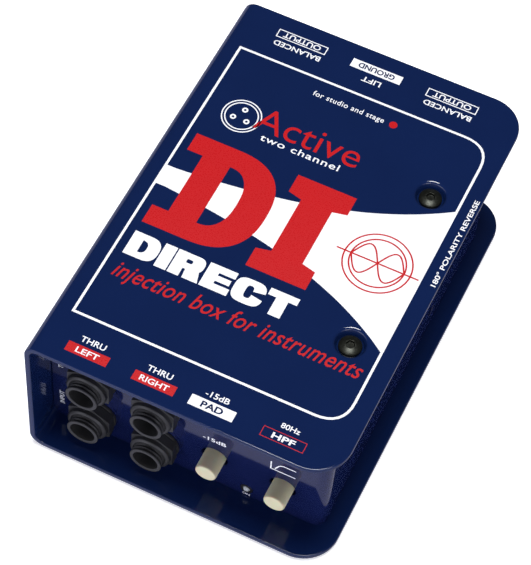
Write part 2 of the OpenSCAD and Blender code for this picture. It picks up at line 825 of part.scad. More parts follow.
outer_shell();
inner_chassis();
base_pad();
top_shell_screws();
bottom_shell_screws();
press_nuts();
main_board();
board_standoffs();
board_screws();
color("#2b2b2d") place_jack(jack_spots[0]) jack_body();  // jack_left_upper_body
color("#2b2b2d") place_jack(jack_spots[1]) jack_body();  // jack_left_lower_body
color("#2b2b2d") place_jack(jack_spots[2]) jack_body();  // jack_right_upper_body
color("#2b2b2d") place_jack(jack_spots[3]) jack_body();  // jack_right_lower_body
color("gold") place_jack(jack_spots[0]) jack_contacts();  // jack_left_upper_contacts
color("gold") place_jack(jack_spots[1]) jack_contacts();  // jack_left_lower_contacts
color("gold") place_jack(jack_spots[2]) jack_contacts();  // jack_right_upper_contacts
color("gold") place_jack(jack_spots[3]) jack_contacts();  // jack_right_lower_contacts
jack_nuts();
jack_washers();
large_switch_body(pad_switch);  // pad_switch_body
large_switch_body(filter_switch);  // filter_switch_body
large_switch_body(lift_switch);  // lift_switch_body
polarity_switch_body();
large_plunger(pad_switch);  // pad_switch_plunger
large_plunger(filter_switch);  // filter_switch_plunger
large_plunger(lift_switch);  // lift_switch_plunger
polarity_switch_plunger();
any_spring(pad_switch);  // pad_switch_spring
any_spring(filter_switch);  // filter_switch_spring
any_spring(lift_switch);  // lift_switch_spring
any_spring(polarity_switch);  // polarity_switch_spring
large_cap(pad_switch);  // pad_button_cap
large_cap(filter_switch);  // filter_button_cap
large_cap(lift_switch);  // lift_button_cap
polarity_button_cap();
switch_pins();
power_light();
light_bezel();
light_leads();
color("#232325") place_xlr(-1) xlr_housing();  // left_xlr_housing
color("#232325") place_xlr(1) xlr_housing();  // right_xlr_housing
color("#111113") place_xlr(-1) xlr_insert();  // left_xlr_insert
color("#111113") place_xlr(1) xlr_insert();  // right_xlr_insert
color("gold") place_xlr(-1) xlr_pins();  // left_xlr_pins
color("gold") place_xlr(1) xlr_pins();  // right_xlr_pins
xlr_screws();
amplifier_chips();
electrolytic_capacitors();
film_capacitors();
resistors();
power_coil();
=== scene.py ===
import json
import math

import bmesh
import bpy
import numpy as np
from bpy.props import FloatProperty, FloatVectorProperty, PointerProperty
from mathutils import Matrix, Vector


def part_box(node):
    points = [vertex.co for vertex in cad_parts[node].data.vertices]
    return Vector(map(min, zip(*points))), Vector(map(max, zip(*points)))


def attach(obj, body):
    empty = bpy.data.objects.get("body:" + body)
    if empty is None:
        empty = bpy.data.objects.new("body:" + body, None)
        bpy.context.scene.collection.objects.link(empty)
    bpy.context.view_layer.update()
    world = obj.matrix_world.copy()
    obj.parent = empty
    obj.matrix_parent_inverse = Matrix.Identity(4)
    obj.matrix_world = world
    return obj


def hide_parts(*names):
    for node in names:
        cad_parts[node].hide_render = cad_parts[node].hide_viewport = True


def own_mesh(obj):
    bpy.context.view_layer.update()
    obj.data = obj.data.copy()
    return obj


bl_info = {
    "name": "Direct injection box",
    "version": (1, 0, 0),
    "blender": (4, 5, 0),
    "location": "View3D > Sidebar > Injection Box",
    "description": "Paint, printed art and finished edges for a two-channel direct injection box",
    "category": "Object",
}

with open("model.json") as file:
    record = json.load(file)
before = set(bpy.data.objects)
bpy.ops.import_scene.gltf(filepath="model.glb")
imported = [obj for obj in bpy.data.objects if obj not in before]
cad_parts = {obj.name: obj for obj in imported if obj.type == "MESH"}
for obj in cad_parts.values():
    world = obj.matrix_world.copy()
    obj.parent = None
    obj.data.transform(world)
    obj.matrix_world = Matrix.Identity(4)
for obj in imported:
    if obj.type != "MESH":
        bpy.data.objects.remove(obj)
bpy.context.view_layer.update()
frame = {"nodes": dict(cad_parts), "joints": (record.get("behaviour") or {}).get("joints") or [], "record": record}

# One millimetre in Blender's metres
MM = 0.001
# Height of the first and second coat of printing ink over the paint
INK_COAT = 0.04
INK_OVERPRINT = 0.07
# How much higher one shape of a coat lies than the shape it crosses, so that no two faces coincide
INK_STEP = 0.004
# How far an ink piece reaches into the paint, so that no light passes under it
INK_ROOT = 0.01
# Where the large letters and the word under them begin, from the middle of the top
LETTERS_LEFT = -50.4

COVER_LOW, COVER_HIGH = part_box("outer_shell")
CHASSIS_LOW, CHASSIS_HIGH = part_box("inner_chassis")


# ---------- Colours and nodes ----------

def linear(code):
    """Turns an sRGB hex value such as #16224E into a linear colour with full alpha."""
    parts = np.array([int(code[i:i + 2], 16) for i in (1, 3, 5)]) / 255
    light = np.where(parts <= 0.04045, parts / 12.92, ((parts + 0.055) / 1.055) ** 2.4)
    return (*light.tolist(), 1.0)


def feed(node, inputs):
    """Links a node's inputs to other nodes' sockets, or sets them to constant values."""
    for name, value in inputs.items():
        if isinstance(value, bpy.types.NodeSocket):
            node.id_data.links.new(value, node.inputs[name])
        else:
            node.inputs[name].default_value = value


def add(tree, kind, settings=None, inputs=None):
    """Adds a node with its settings and its inputs."""
    node = tree.nodes.new(kind)
    for name, value in (settings or {}).items():
        setattr(node, name, value)
    feed(node, inputs or {})
    return node


def start_material(name):
    """The node material of this name, new or emptied, with its output, its shader and Object
    coordinates."""
    material = bpy.data.materials.get(name) or bpy.data.materials.new(name)
    material.use_nodes = True
    tree = material.node_tree
    tree.nodes.clear()
    shader = add(tree, "ShaderNodeBsdfPrincipled")
    add(tree, "ShaderNodeOutputMaterial", inputs={"Surface": shader.outputs["BSDF"]})
    where = add(tree, "ShaderNodeTexCoord").outputs["Object"]
    return material, tree, shader, where


def per_metre(size_mm):
    """Texture scale that gives a pattern of this size, in millimetres."""
    return 1 / (size_mm * MM)


def dress(shader, cloud, grain, dark, light, roughness, relief_mm, constants=None):
    """Lets the colour run between two shades with one pattern, and the roughness and the relief
    follow another. Patterns mostly lie between 0.3 and 0.7, and relief_mm is their full height."""
    tree = shader.id_data
    # Inputs 6 and 7 and output 2 of a mix are its colour ones
    colour = add(tree, "ShaderNodeMix", {"data_type": "RGBA"}, {"Factor": cloud, 6: dark, 7: light})
    rough = add(tree, "ShaderNodeMapRange", inputs={
        "Value": grain, "From Min": 0.3, "From Max": 0.7, "To Min": roughness[0], "To Max": roughness[1]})
    bump = add(tree, "ShaderNodeBump", inputs={"Height": grain, "Distance": relief_mm * MM})
    feed(shader, {"Base Color": colour.outputs[2], "Roughness": rough.outputs["Result"],
                  "Normal": bump.outputs["Normal"], **(constants or {})})


def grained(name, shades, cloud_mm, grain_mm, roughness, relief_mm, constants=None, detail=2.0):
    """A finish whose colour drifts in clouds of about cloud_mm, under a grain of about grain_mm."""
    material, tree, shader, where = start_material(name)
    cloud = add(tree, "ShaderNodeTexNoise", inputs={
        "Vector": where, "Scale": per_metre(cloud_mm), "Detail": 3.0}).outputs["Fac"]
    grain = add(tree, "ShaderNodeTexNoise", inputs={
        "Vector": where, "Scale": per_metre(grain_mm), "Detail": detail}).outputs["Fac"]
    dress(shader, cloud, grain, *shades, roughness, relief_mm, constants)
    return material


def shades_of(colour, drift):
    """A darker and a lighter shade of a linear colour, this share below and above it."""
    return tuple((*(np.array(colour[:3]) * (1 + side * drift)).tolist(), 1.0) for side in (-1, 1))


def between(dark, light):
    """Two hex colours as the ends of a finish's shades."""
    return linear(dark), linear(light)


# ---------- Materials ----------

def powder_coated_steel(name, colour, roughness):
    """Polyester powder coat baked on steel sheet: a smooth gloss with a faint orange peel of about
    1.5 mm, which softens what it reflects."""
    return grained(name, shades_of(colour, 0.1), 25, 1.5, (roughness - 0.01, roughness + 0.02), 0.0002,
                   {"IOR": 1.5})


def screen_ink(name, colour):
    """Screen-printed enamel ink: flatter than the paint, with the fine cells that the mesh leaves,
    drawn at 0.5 mm because the real 0.1 mm cells are too fine to show."""
    return grained(name, shades_of(colour, 0.04), 9, 0.5, (0.24, 0.34), 0.004)


def moulded_nylon(name, shades, roughness=0.42):
    """Glass-filled nylon moulded against a spark-eroded tool: satin, with a grain of about 0.35 mm."""
    return grained(name, shades, 4, 0.35, (roughness - 0.06, roughness + 0.08), 0.012,
                   {"IOR": 1.53}, 3.0)


def moulded_abs(name, colour):
    """Warm grey ABS from a polished tool: a soft sheen, light scattered just under the skin, and
    faint darker patches of about 3.5 mm, as fingers leave."""
    return grained(name, shades_of(colour, 0.08), 3.5, 0.8, (0.36, 0.48), 0.01,
                   {"Subsurface Weight": 0.4, "Subsurface Scale": 0.003, "IOR": 1.54})


def black_oxide_steel(name):
    """Steel screws blackened in hot caustic salts: a dark greenish skin with a low oily shine."""
    return grained(name, between("#1E1F1B", "#343630"), 0.6, 0.6, (0.28, 0.44), 0.006,
                   {"Metallic": 0.75}, 4.0)


def zinc_plated_steel(name):
    """Bright zinc over turned steel: bluish white metal with cloudy patches of about 2 mm."""
    return grained(name, between("#A9ADB3", "#C9CCD0"), 2, 2, (0.22, 0.4), 0.002,
                   {"Metallic": 1.0}, 4.0)


def drawn_spring_wire(name):
    """Hard-drawn steel wire: bright, with the fine marks of the die shown as a 0.2 mm grain."""
    return grained(name, between("#9EA1A6", "#CDD0D4"), 0.2, 0.2, (0.2, 0.34), 0.002,
                   {"Metallic": 1.0}, 3.0)


def gold_flashed_bronze(name):
    """Phosphor bronze with a thin gold flash: warm yellow, with duller patches of about 1.2 mm."""
    return grained(name, between("#B98F45", "#DCBC72"), 1.2, 1.2, (0.2, 0.34), 0.002,
                   {"Metallic": 1.0}, 3.0)


def cellular_rubber(name):
    """Closed-cell rubber sheet: matt black with a skin of cells about 0.7 mm across."""
    material, tree, shader, where = start_material(name)
    cells = add(tree, "ShaderNodeTexVoronoi", inputs={
        "Vector": where, "Scale": per_metre(0.7)}).outputs["Distance"]
    # The colour follows the cells: painted shade down in each cell, lighter on the raised walls between them
    dress(shader, cells, cells, *between("#0F0F10", "#232325"), (0.78, 0.92), 0.08)
    return material


def clear_epoxy(name):
    """Cast epoxy of the light's lens: glossy and clear over a milky body."""
    return grained(name, between("#C6CDD1", "#E3E8EA"), 0.9, 0.9, (0.08, 0.16), 0.002,
                   {"Transmission Weight": 0.35, "IOR": 1.55})


def solder_masked_board(name):
    """Glass-epoxy laminate under green solder mask: the copper shows through as lighter tracks on a
    2.54 mm grid. One brick of the texture is half a unit wide."""
    material, tree, shader, where = start_material(name)
    tracks = add(tree, "ShaderNodeTexBrick", {"offset": 0.35, "squash": 1.0}, {
        "Vector": where, "Scale": per_metre(2.54) * 0.5, "Mortar Size": 0.06, "Mortar Smooth": 0.1,
        "Color1": (0, 0, 0, 1), "Color2": (0, 0, 0, 1), "Mortar": (1, 1, 1, 1)}).outputs["Color"]
    dress(shader, tracks, tracks, *between("#14532F", "#2C8450"), (0.25, 0.38), 0.035, {"Coat Weight": 0.3})
    return material


def moulded_epoxy(name):
    """Transfer-moulded epoxy of the chips: matt black with a sandy skin of about 0.25 mm."""
    return grained(name, between("#151517", "#26262A"), 0.25, 0.25, (0.6, 0.78), 0.01, None, 3.0)


def vinyl_sleeve(name):
    """Shrunk vinyl sleeve on a capacitor can: dark blue and shiny, with faint draw wrinkles about
    4 mm apart. One band of the texture is about 0.3 of a unit wide."""
    material, tree, shader, where = start_material(name)
    wrinkle = add(tree, "ShaderNodeTexWave", {"wave_type": "BANDS", "bands_direction": "Z"}, {
        "Vector": where, "Scale": per_metre(4) * 0.3, "Distortion": 2.0}).outputs["Fac"]
    # The colour follows the wrinkles: painted shade in their troughs and a painted sheen on their ridges
    dress(shader, wrinkle, wrinkle, *between("#1A284C", "#233564"), (0.22, 0.32), 0.02)
    return material


def dipped_epoxy(name):
    """Film capacitors dipped in red epoxy: thick, glossy and slightly uneven over 2 mm."""
    return grained(name, between("#97281F", "#BE3E31"), 2, 2, (0.18, 0.28), 0.06)


def banded_lacquer(name, pitch_mm):
    """Baked lacquer on film resistors, with painted rings round each body. The rings repeat with the
    pitch of the row: a ramp reads how far a point lies from the middle of its own resistor."""
    material, tree, shader, where = start_material(name)
    x = add(tree, "ShaderNodeSeparateXYZ", inputs={"Vector": where}).outputs["X"]
    turns = add(tree, "ShaderNodeMath", {"operation": "MULTIPLY_ADD"}, {
        0: x, 1: per_metre(pitch_mm), 2: 0.5}).outputs[0]
    share = add(tree, "ShaderNodeMath", {"operation": "FRACT"}, {0: turns}).outputs[0]
    ramp = add(tree, "ShaderNodeValToRGB", inputs={"Fac": share})
    ramp.color_ramp.interpolation = "CONSTANT"
    tinned_lead, lacquer, ring_width = "#C4C6C9", "#7FB0C4", 0.04
    stops = [(0.0, tinned_lead), (0.278, lacquer)]
    for start, ring in ((0.36, "#7A2A1E"), (0.46, "#1B1B1C"), (0.56, "#C77A2B"), (0.66, "#B0913C")):
        stops += [(start, ring), (start + ring_width, lacquer)]
    stops.append((0.722, tinned_lead))
    while len(ramp.color_ramp.elements) < len(stops):
        ramp.color_ramp.elements.new(1.0)
    for element, (place, colour) in zip(ramp.color_ramp.elements, stops):
        element.position = place
        element.color = linear(colour)
    feed(shader, {"Base Color": ramp.outputs["Color"], "Roughness": 0.32})
    return material


def enamelled_copper(name, node):
    """Enamelled copper wound round a ring: 48 turns, shown as ribs fanning out from the middle of the
    node's box. A rib rises and falls with the angle round that middle."""
    material, tree, shader, where = start_material(name)
    low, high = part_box(node)
    local = add(tree, "ShaderNodeMapping", inputs={
        "Vector": where, "Location": tuple(-(low + high) / 2)}).outputs["Vector"]
    part = add(tree, "ShaderNodeSeparateXYZ", inputs={"Vector": local})
    angle = add(tree, "ShaderNodeMath", {"operation": "ARCTAN2"}, {
        0: part.outputs["Y"], 1: part.outputs["X"]}).outputs[0]
    half_rib = math.pi / 48
    rise = add(tree, "ShaderNodeMath", {"operation": "PINGPONG"}, {0: angle, 1: half_rib}).outputs[0]
    height = add(tree, "ShaderNodeMath", {"operation": "DIVIDE"}, {0: rise, 1: half_rib}).outputs[0]
    # The colour follows the rib height: painted shade in the grooves between turns and a painted highlight on the
    # crests
    dress(shader, height, height, *between("#6E3417", "#C4763F"), (0.25, 0.35), 0.25, {"Metallic": 0.9})
    return material


def studio_floor(name):
    """Translucent white acrylic lit from below: matt, with a barely visible cloudiness, and bright
    enough to lift the shadow on it. Glossy rays see a painted reflection in its place: a dimmer
    emitting floor, painted darker on the right as a painted shadow of the object beside it."""
    material, tree, shader, where = start_material(name)
    cloud = add(tree, "ShaderNodeTexNoise", inputs={"Vector": where, "Scale": per_metre(40)}).outputs["Fac"]
    dress(shader, cloud, cloud, *between("#F0F0F1", "#F7F7F7"), (0.88, 0.92), 0.01, {
        "Specular IOR Level": 0.1, "Emission Color": (1, 1, 1, 1), "Emission Strength": 0.55})
    x = add(tree, "ShaderNodeSeparateXYZ", inputs={"Vector": where}).outputs["X"]
    # Painted shadow: what glossy paint reflects is painted darker towards the right, for the object's shadow on
    # the floor
    painted_shadow_in_reflection = add(tree, "ShaderNodeMapRange", {"interpolation_type": "SMOOTHSTEP"}, {
        "Value": x, "From Min": 0.03, "From Max": 0.09, "To Min": 0.6, "To Max": 0.4}).outputs["Result"]
    # Painted reflection: glossy rays see this emitting floor instead of the lit one
    painted_floor_reflection = add(tree, "ShaderNodeEmission", inputs={"Color": linear("#E6E6FF"), "Strength": painted_shadow_in_reflection})
    glossy = add(tree, "ShaderNodeLightPath").outputs["Is Glossy Ray"]
    both = add(tree, "ShaderNodeMixShader", inputs={
        0: glossy, 1: shader.outputs["BSDF"], 2: painted_floor_reflection.outputs["Emission"]})
    output = next(node for node in tree.nodes if node.type == "OUTPUT_MATERIAL")
    feed(output, {"Surface": both.outputs["Shader"]})
    # The floor is a surface to look at, not a lamp to aim rays at
    material.cycles.emission_sampling = "NONE"
    return material


# What each slot of the record is made of, given the user's colours
FINISHES = {
    "cover_paint": lambda user: powder_coated_steel("navy_powder_coat_on_cover", user.cover_paint, 0.08),
    # The chassis paint is the cover's navy made a little darker and more purple: painted shade, for how the paint
    # looks in the shadow under the cover
    "chassis_paint": lambda user: powder_coated_steel(
        "navy_powder_coat_on_chassis", user.chassis_paint, 0.06),
    "white_ink": lambda user: screen_ink("white_enamel_ink", user.white_ink),
    "red_ink": lambda user: screen_ink("red_enamel_ink", user.red_ink),
    "pad_rubber": lambda user: cellular_rubber("black_cellular_rubber"),
    "black_screw": lambda user: black_oxide_steel("black_oxide_steel"),
    "zinc_steel": lambda user: zinc_plated_steel("zinc_plated_steel"),
    "circuit_board": lambda user: solder_masked_board("green_solder_mask"),
    "jack_plastic": lambda user: moulded_nylon("black_glass_filled_nylon", between("#222222", "#303030")),
    "switch_plastic": lambda user: moulded_nylon(
        "black_moulded_nylon", between("#17171A", "#222226"), 0.36),
    "plunger_plastic": lambda user: moulded_nylon("natural_acetal", between("#CFCCBE", "#DEDBCF"), 0.3),
    "button_ivory": lambda user: moulded_abs("warm_grey_abs", user.caps),
    "contact_metal": lambda user: gold_flashed_bronze("gold_flashed_bronze"),
    "spring_steel": lambda user: drawn_spring_wire("drawn_spring_wire"),
    "light_lens": lambda user: clear_epoxy("clear_cast_epoxy"),
    "chip_epoxy": lambda user: moulded_epoxy("black_moulded_epoxy"),
    "capacitor_sleeve": lambda user: vinyl_sleeve("blue_vinyl_sleeve"),
    "film_capacitor_case": lambda user: dipped_epoxy("red_dipped_epoxy"),
    "resistor_lacquer": lambda user: banded_lacquer("banded_resistor_lacquer", pitch_mm=14),
    "copper_winding": lambda user: enamelled_copper("enamelled_copper_winding", "power_coil"),
}
SLOT_OF_NODE = {row["node"]: row["material_slot"] for row in frame["record"]["subparts"]}
BODY_OF_NODE = {
    node: body for body, nodes in frame["record"]["behaviour"]["bodies"].items() for node in nodes}


def finish_of(slot):
    """The material of a slot, made again with the user's present colours each time it is used."""
    return FINISHES[slot](bpy.context.scene.injection_finish)


# ---------- Pieces ----------

def place_piece(name, mesh, body, slot, replaced=()):
    """Makes a mesh into a piece that rides on a body and takes its finish from a slot."""
    piece = bpy.data.objects.new(name, mesh)
    bpy.context.scene.collection.objects.link(piece)
    mesh.materials.clear()
    mesh.materials.append(finish_of(slot))
    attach(piece, body)
    if replaced:
        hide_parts(*replaced)
    return piece


def merged_copy(node, name):
    """A copy of a CAD mesh with its loose triangles joined, slivers closed and flat faces made whole."""
    mesh = frame["nodes"][node].data.copy()
    mesh.name = name
    work = bmesh.new()
    work.from_mesh(mesh)
    bmesh.ops.remove_doubles(work, verts=work.verts, dist=0.02 * MM)
    bmesh.ops.dissolve_limit(work, angle_limit=math.radians(0.5), verts=work.verts, edges=work.edges)
    for face in work.faces:
        face.smooth = True
    work.to_mesh(mesh)
    work.free()
    return mesh


def soften(node, name, radius_mm, steps=3):
    """A copy of a CAD node, standing for it, whose edges sharper than 30 degrees are rounded to this
    radius in this many steps."""
    piece = place_piece(name, merged_copy(node, name), BODY_OF_NODE[node], SLOT_OF_NODE[node], [node])
    bevel = piece.modifiers.new("edge_radius", "BEVEL")
    bevel.width = radius_mm * MM
    bevel.segments = steps
    bevel.limit_method = "ANGLE"
    bevel.angle_limit = math.radians(30)
    bevel.use_clamp_overlap = False
    shading = piece.modifiers.new("flat_faces_stay_flat", "WEIGHTED_NORMAL")
    shading.weight = 50
    shading.keep_sharp = False
    return piece


# ---------- Printed art ----------

class InkDrawing:
    """Collects thin closed solids drawn in a plane, in millimetres, and makes one mesh of them."""

    def __init__(self, origin, right, up):
        self.axes = np.array([right, up, np.cross(right, up)], float)
        self.origin = np.array(origin, float)
        self.points = []
        self.faces = []
        self.count = 0

    def keep(self, flat, faces):
        """Takes points given as right, up and height over the surface."""
        self.points.append(self.origin + np.asarray(flat) @ self.axes)
        self.faces += [[i + self.count for i in face] for face in faces]
        self.count += len(flat)

    def ribbon(self, first, second, coat=INK_COAT, closed=False):
        """A flat solid between two edges of n points each. Point i of one edge faces point i of the
        other, and the solid reaches from just under the surface to the coat's height."""
        first, second = np.asarray(first, float), np.asarray(second, float)
        n = len(first)
        flat = np.concatenate([first, second, first, second])
        heights = np.repeat([-INK_ROOT, coat], 2 * n)
        index = np.arange(n if closed else n - 1)
        after = (index + 1) % n
        a, b, c, d = index, after, index + n, after + n
        low = np.stack([a, c, d, b], 1)
        high = np.stack([a, b, d, c], 1) + 2 * n
        side_one = np.stack([a, b, b + 2 * n, a + 2 * n], 1)
        side_two = np.stack([c, c + 2 * n, d + 2 * n, d], 1)
        faces = np.concatenate([low, high, side_one, side_two]).tolist()
        if not closed:
            faces += [[0, 2 * n, 3 * n, n], [n - 1, 2 * n - 1, 4 * n - 1, 3 * n - 1]]
        self.keep(np.column_stack([flat, heights]), faces)

    def box(self, left, low, right, high, coat=INK_COAT):
        """A filled rectangle."""
        self.ribbon([(left, low), (right, low)], [(left, high), (right, high)], coat)

    def outline(self, left, low, right, high, width, radius=0):
        """A line of this width just inside a rectangle, whose corners are rounded as in rounded()."""
        half = width / 2
        corners = [(left + half, low + half), (right - half, low + half),
                   (right - half, high - half), (left + half, high - half)]
        self.stroke(rounded(corners, radius, closed=True), width, closed=True)

    def stroke(self, path, width, coat=INK_COAT, closed=False):
        """A line of this width along a path. At each point the two edges lie half a width away along
        the mitre: the sum of the normals before and after it, over one plus their dot product."""
        path = np.asarray(path, float)
        steps = np.diff(np.concatenate([path, path[:1]]), axis=0)
        normals = np.column_stack([-steps[:, 1], steps[:, 0]])
        normals /= np.linalg.norm(normals, axis=1, keepdims=True)
        before = np.roll(normals, 1, 0)
        if not closed:
            before[0] = normals[0]
            normals[-1] = before[-1]
        mitre = (before + normals) / (1 + np.sum(before * normals, 1, keepdims=True)) * width / 2
        self.ribbon(path - mitre, path + mitre, coat, closed)

    def words(self, text, x, baseline, height, width,
              turn=0, weight=0.0, slant=0.0, gap=1.0, coat=INK_COAT):
        """Lettering in the built-in face, height tall from its baseline and width wide, centred on x
        and turned about the middle of its baseline by this many degrees."""
        curve = bpy.data.curves.new("lettering", "FONT")
        curve.body = text
        curve.offset = weight
        curve.shear = slant
        curve.space_character = gap
        curve.resolution_u = 5
        # Any thickness will do here, because the coat gives both faces their height below
        curve.extrude = 0.5
        holder = bpy.data.objects.new("lettering", curve)
        bpy.context.scene.collection.objects.link(holder)
        ready = holder.evaluated_get(bpy.context.evaluated_depsgraph_get())
        mesh = bpy.data.meshes.new_from_object(ready)
        work = bmesh.new()
        work.from_mesh(mesh)
        bmesh.ops.remove_doubles(work, verts=work.verts, dist=0.0001)
        work.to_mesh(mesh)
        work.free()
        flat = np.zeros(len(mesh.vertices) * 3)
        mesh.vertices.foreach_get("co", flat)
        flat = flat.reshape(-1, 3)
        faces = [list(face.vertices) for face in mesh.polygons]
        bpy.data.objects.remove(holder)
        bpy.data.curves.remove(curve)
        bpy.data.meshes.remove(mesh)
        low, high = flat.min(0), flat.max(0)
        across = (flat[:, 0] - (low[0] + high[0]) / 2) * width / (high[0] - low[0])
        tall = flat[:, 1] * height / high[1]
        c, s = math.cos(math.radians(turn)), math.sin(math.radians(turn))
        self.keep(np.column_stack([x + c * across - s * tall, baseline + s * across + c * tall,
                                   np.where(flat[:, 2] > 0, coat, -INK_ROOT)]), faces)

    def make(self, name, slot):
        """One piece of everything collected."""
        mesh = bpy.data.meshes.new(name)
        mesh.from_pydata((np.concatenate(self.points) * MM).tolist(), [], self.faces)
        mesh.update()
        place_piece(name, mesh, "root", slot)


def top_drawing():
    """The top of the cover: right is right and up is back, in millimetres from the middle."""
    return InkDrawing((0, 0, COVER_HIGH.z / MM), (1, 0, 0), (0, 1, 0))


def front_drawing():
    """The front panel: right is right and up is up."""
    return InkDrawing((0, CHASSIS_LOW.y / MM, 0), (1, 0, 0), (0, 0, 1))


def flare_half_height(x, start, middle, growth, reach):
    """Half the height of the flare: constant up to start, then growing as growth times
    (e to the power of the distance past start over reach, less 1)."""
    return middle + growth * (np.exp(np.maximum(x - start, 0) / reach) - 1)


def rounded(corners, radius, closed=False):
    """A path with its corners rounded. Each corner c with neighbours a and b becomes the curve
    (1-t) squared times p, plus 2t(1-t) times c, plus t squared times q, where p and q lie one radius
    from c towards a and b. A corner of radius 0 stays a point."""
    corners = np.asarray(corners, float)
    radius = np.broadcast_to(radius, len(corners))
    t = np.linspace(0, 1, 9)[:, None]
    parts = []
    for i, (corner, reach) in enumerate(zip(corners, radius)):
        inner = closed or 0 < i < len(corners) - 1
        if reach == 0 or not inner:
            parts.append(corner[None])
            continue
        ends = [corners[i - 1], corners[(i + 1) % len(corners)]]
        p, q = (corner + (end - corner) / np.linalg.norm(end - corner) * reach for end in ends)
        parts.append((1 - t) ** 2 * p + 2 * t * (1 - t) * corner + t ** 2 * q)
    path = np.concatenate(parts)
    # A point that repeats the one before it would give a step without a direction
    return path[np.linalg.norm(path - np.roll(path, 1, 0), axis=1) > 1e-6]


def circle(x, y, radius, count):
    """This many points round a circle, counter-clockwise from its right-hand end."""
    turns = np.arange(count) * 2 * math.pi / count
    return np.column_stack([x + radius * np.cos(turns), y + radius * np.sin(turns)])


def slab_letter_edges(x, low, high, slab, half_width, stem):
    """Left and right edges, from the bottom up, of an upright slab letter: wide at both ends and
    narrow between, with a short slope next to each slab."""
    slope = 1.4
    ups = np.array([low, low + slab, low + slab + slope, high - slab - slope, high - slab, high])
    halves = np.array([half_width, half_width, stem, stem, half_width, half_width])
    return np.column_stack([x - halves, ups]), np.column_stack([x + halves, ups])


def bowl(left, right, low, high, power):
    """A closed edge, counter-clockwise, square on the left. Its right side is half a superellipse,
    as deep as half its height where there is room: the cosine and the sine of the turn, each to
    2 over the power, times that depth and half the height."""
    turns = np.linspace(-math.pi / 2, math.pi / 2, 33)
    reach = min(right - left, (high - low) / 2)
    x = right - reach + reach * np.abs(np.cos(turns)) ** (2 / power)
    y = (low + high) / 2 + (high - low) / 2 * np.sign(np.sin(turns)) * np.abs(np.sin(turns)) ** (2 / power)
    return np.concatenate([np.column_stack([x, y]), [(left, high), (left, low)]])


# ---------- Settings ----------

class FinishSettings(bpy.types.PropertyGroup):
    """Colours of the paints, the inks and the large caps."""

    cover_paint: FloatVectorProperty(
        name="Cover paint", description="Colour of the paint on the cover",
        default=linear("#0E1F48")[:3], size=3, subtype="COLOR", min=0, max=1)
    # Partly painted shade: the navy is made darker and more purple than the cover's, for its look in the shadow
    # under the cover
    chassis_paint: FloatVectorProperty(
        name="Chassis paint", description="Colour of the paint on the chassis",
        default=linear("#121A42")[:3], size=3, subtype="COLOR", min=0, max=1)
    white_ink: FloatVectorProperty(
        name="White ink", description="Colour of the white printing ink",
        default=linear("#F6F7F9")[:3], size=3, subtype="COLOR", min=0, max=1)
    red_ink: FloatVectorProperty(
        name="Red ink", description="Colour of the red printing ink",
        default=linear("#BE161B")[:3], size=3, subtype="COLOR", min=0, max=1)
    caps: FloatVectorProperty(
        name="Button caps", description="Colour of the large button caps",
        default=linear("#CBC6A6")[:3], size=3, subtype="COLOR", min=0, max=1)


class CoverSettings(bpy.types.PropertyGroup):
    """Softness of the sheet edges."""

    edge: FloatProperty(
        name="Edge radius", description="Radius of the paint over the cover's cut edges, in mm",
        default=0.55, min=0.2, max=1.0)
    chassis_edge: FloatProperty(
        name="Chassis edge radius", description="Radius of the paint over the chassis's cut edges, in mm",
        default=0.25, min=0.1, max=0.4)


class ArtSettings(bpy.types.PropertyGroup):
    """Places and line widths of the printed border, mark and signs."""

    border_line: FloatProperty(
        name="Border line", description="Width of the white border line, in mm",
        default=1.0, min=0.5, max=2.0)
    border_front: FloatProperty(
        name="Front margin", description="From the front edge to the border, in mm",
        default=21.8, min=15, max=30)
    border_back: FloatProperty(
        name="Back margin", description="From the back edge to the border, in mm",
        default=23.5, min=15, max=30)
    border_left: FloatProperty(
        name="Left margin", description="From the left face to the border, in mm",
        default=8.6, min=6, max=14)
    border_right: FloatProperty(
        name="Right margin", description="From the right edge to the border, in mm",
        default=6.9, min=5, max=12)
    border_corner: FloatProperty(
        name="Border corners", description="Radius of the border's right-hand corners, in mm",
        default=11.5, min=2, max=20)
    mark_line: FloatProperty(
        name="Mark line", description="Width of the lines of the round red mark, in mm",
        default=0.65, min=0.3, max=1.0)
    thin_line: FloatProperty(
        name="Thin line", description="Width of the thin drawn lines, in mm",
        default=0.5, min=0.3, max=1.0)


class StageSettings(bpy.types.PropertyGroup):
    """Camera and surroundings."""

    azimuth: FloatProperty(
        name="Azimuth", description="Camera's turn to the right of the front",
        default=math.radians(21.24), min=-math.pi, max=math.pi, subtype="ANGLE")
    elevation: FloatProperty(
        name="Elevation", description="Camera's height over the floor",
        default=math.radians(56.04), min=math.radians(5), max=math.radians(89), subtype="ANGLE")
    roll: FloatProperty(
        name="Roll", description="Camera's turn about its own axis",
        default=math.radians(5.04), min=-math.pi / 4, max=math.pi / 4, subtype="ANGLE")
    distance: FloatProperty(
        name="Distance", description="From the camera to the point it looks at",
        default=0.9169, min=0.3, max=5, unit="LENGTH")
    lens: FloatProperty(
        name="Lens", description="Focal length in mm on a sensor 36 mm wide",
        default=142.65, min=20, max=300, unit="CAMERA")
    target: FloatVectorProperty(
        name="Target", description="Point that the camera looks at",
        default=(-0.0100, 0.0079, 0.0136), size=3, subtype="XYZ", unit="LENGTH")
    backdrop: FloatVectorProperty(
        name="Backdrop", description="Colour of the studio round the set",
        default=linear("#C8CAE0")[:3], size=3, subtype="COLOR", min=0, max=1)
    wall: FloatProperty(
        name="Front wall", description="Brightness of the pale wall in front of the set",
        default=1.8, min=0, max=5)


SETTINGS = {
    "injection_finish": FinishSettings,
    "injection_cover": CoverSettings,
    "injection_art": ArtSettings,
    "injection_stage": StageSettings,
}


# ---------- Operators ----------

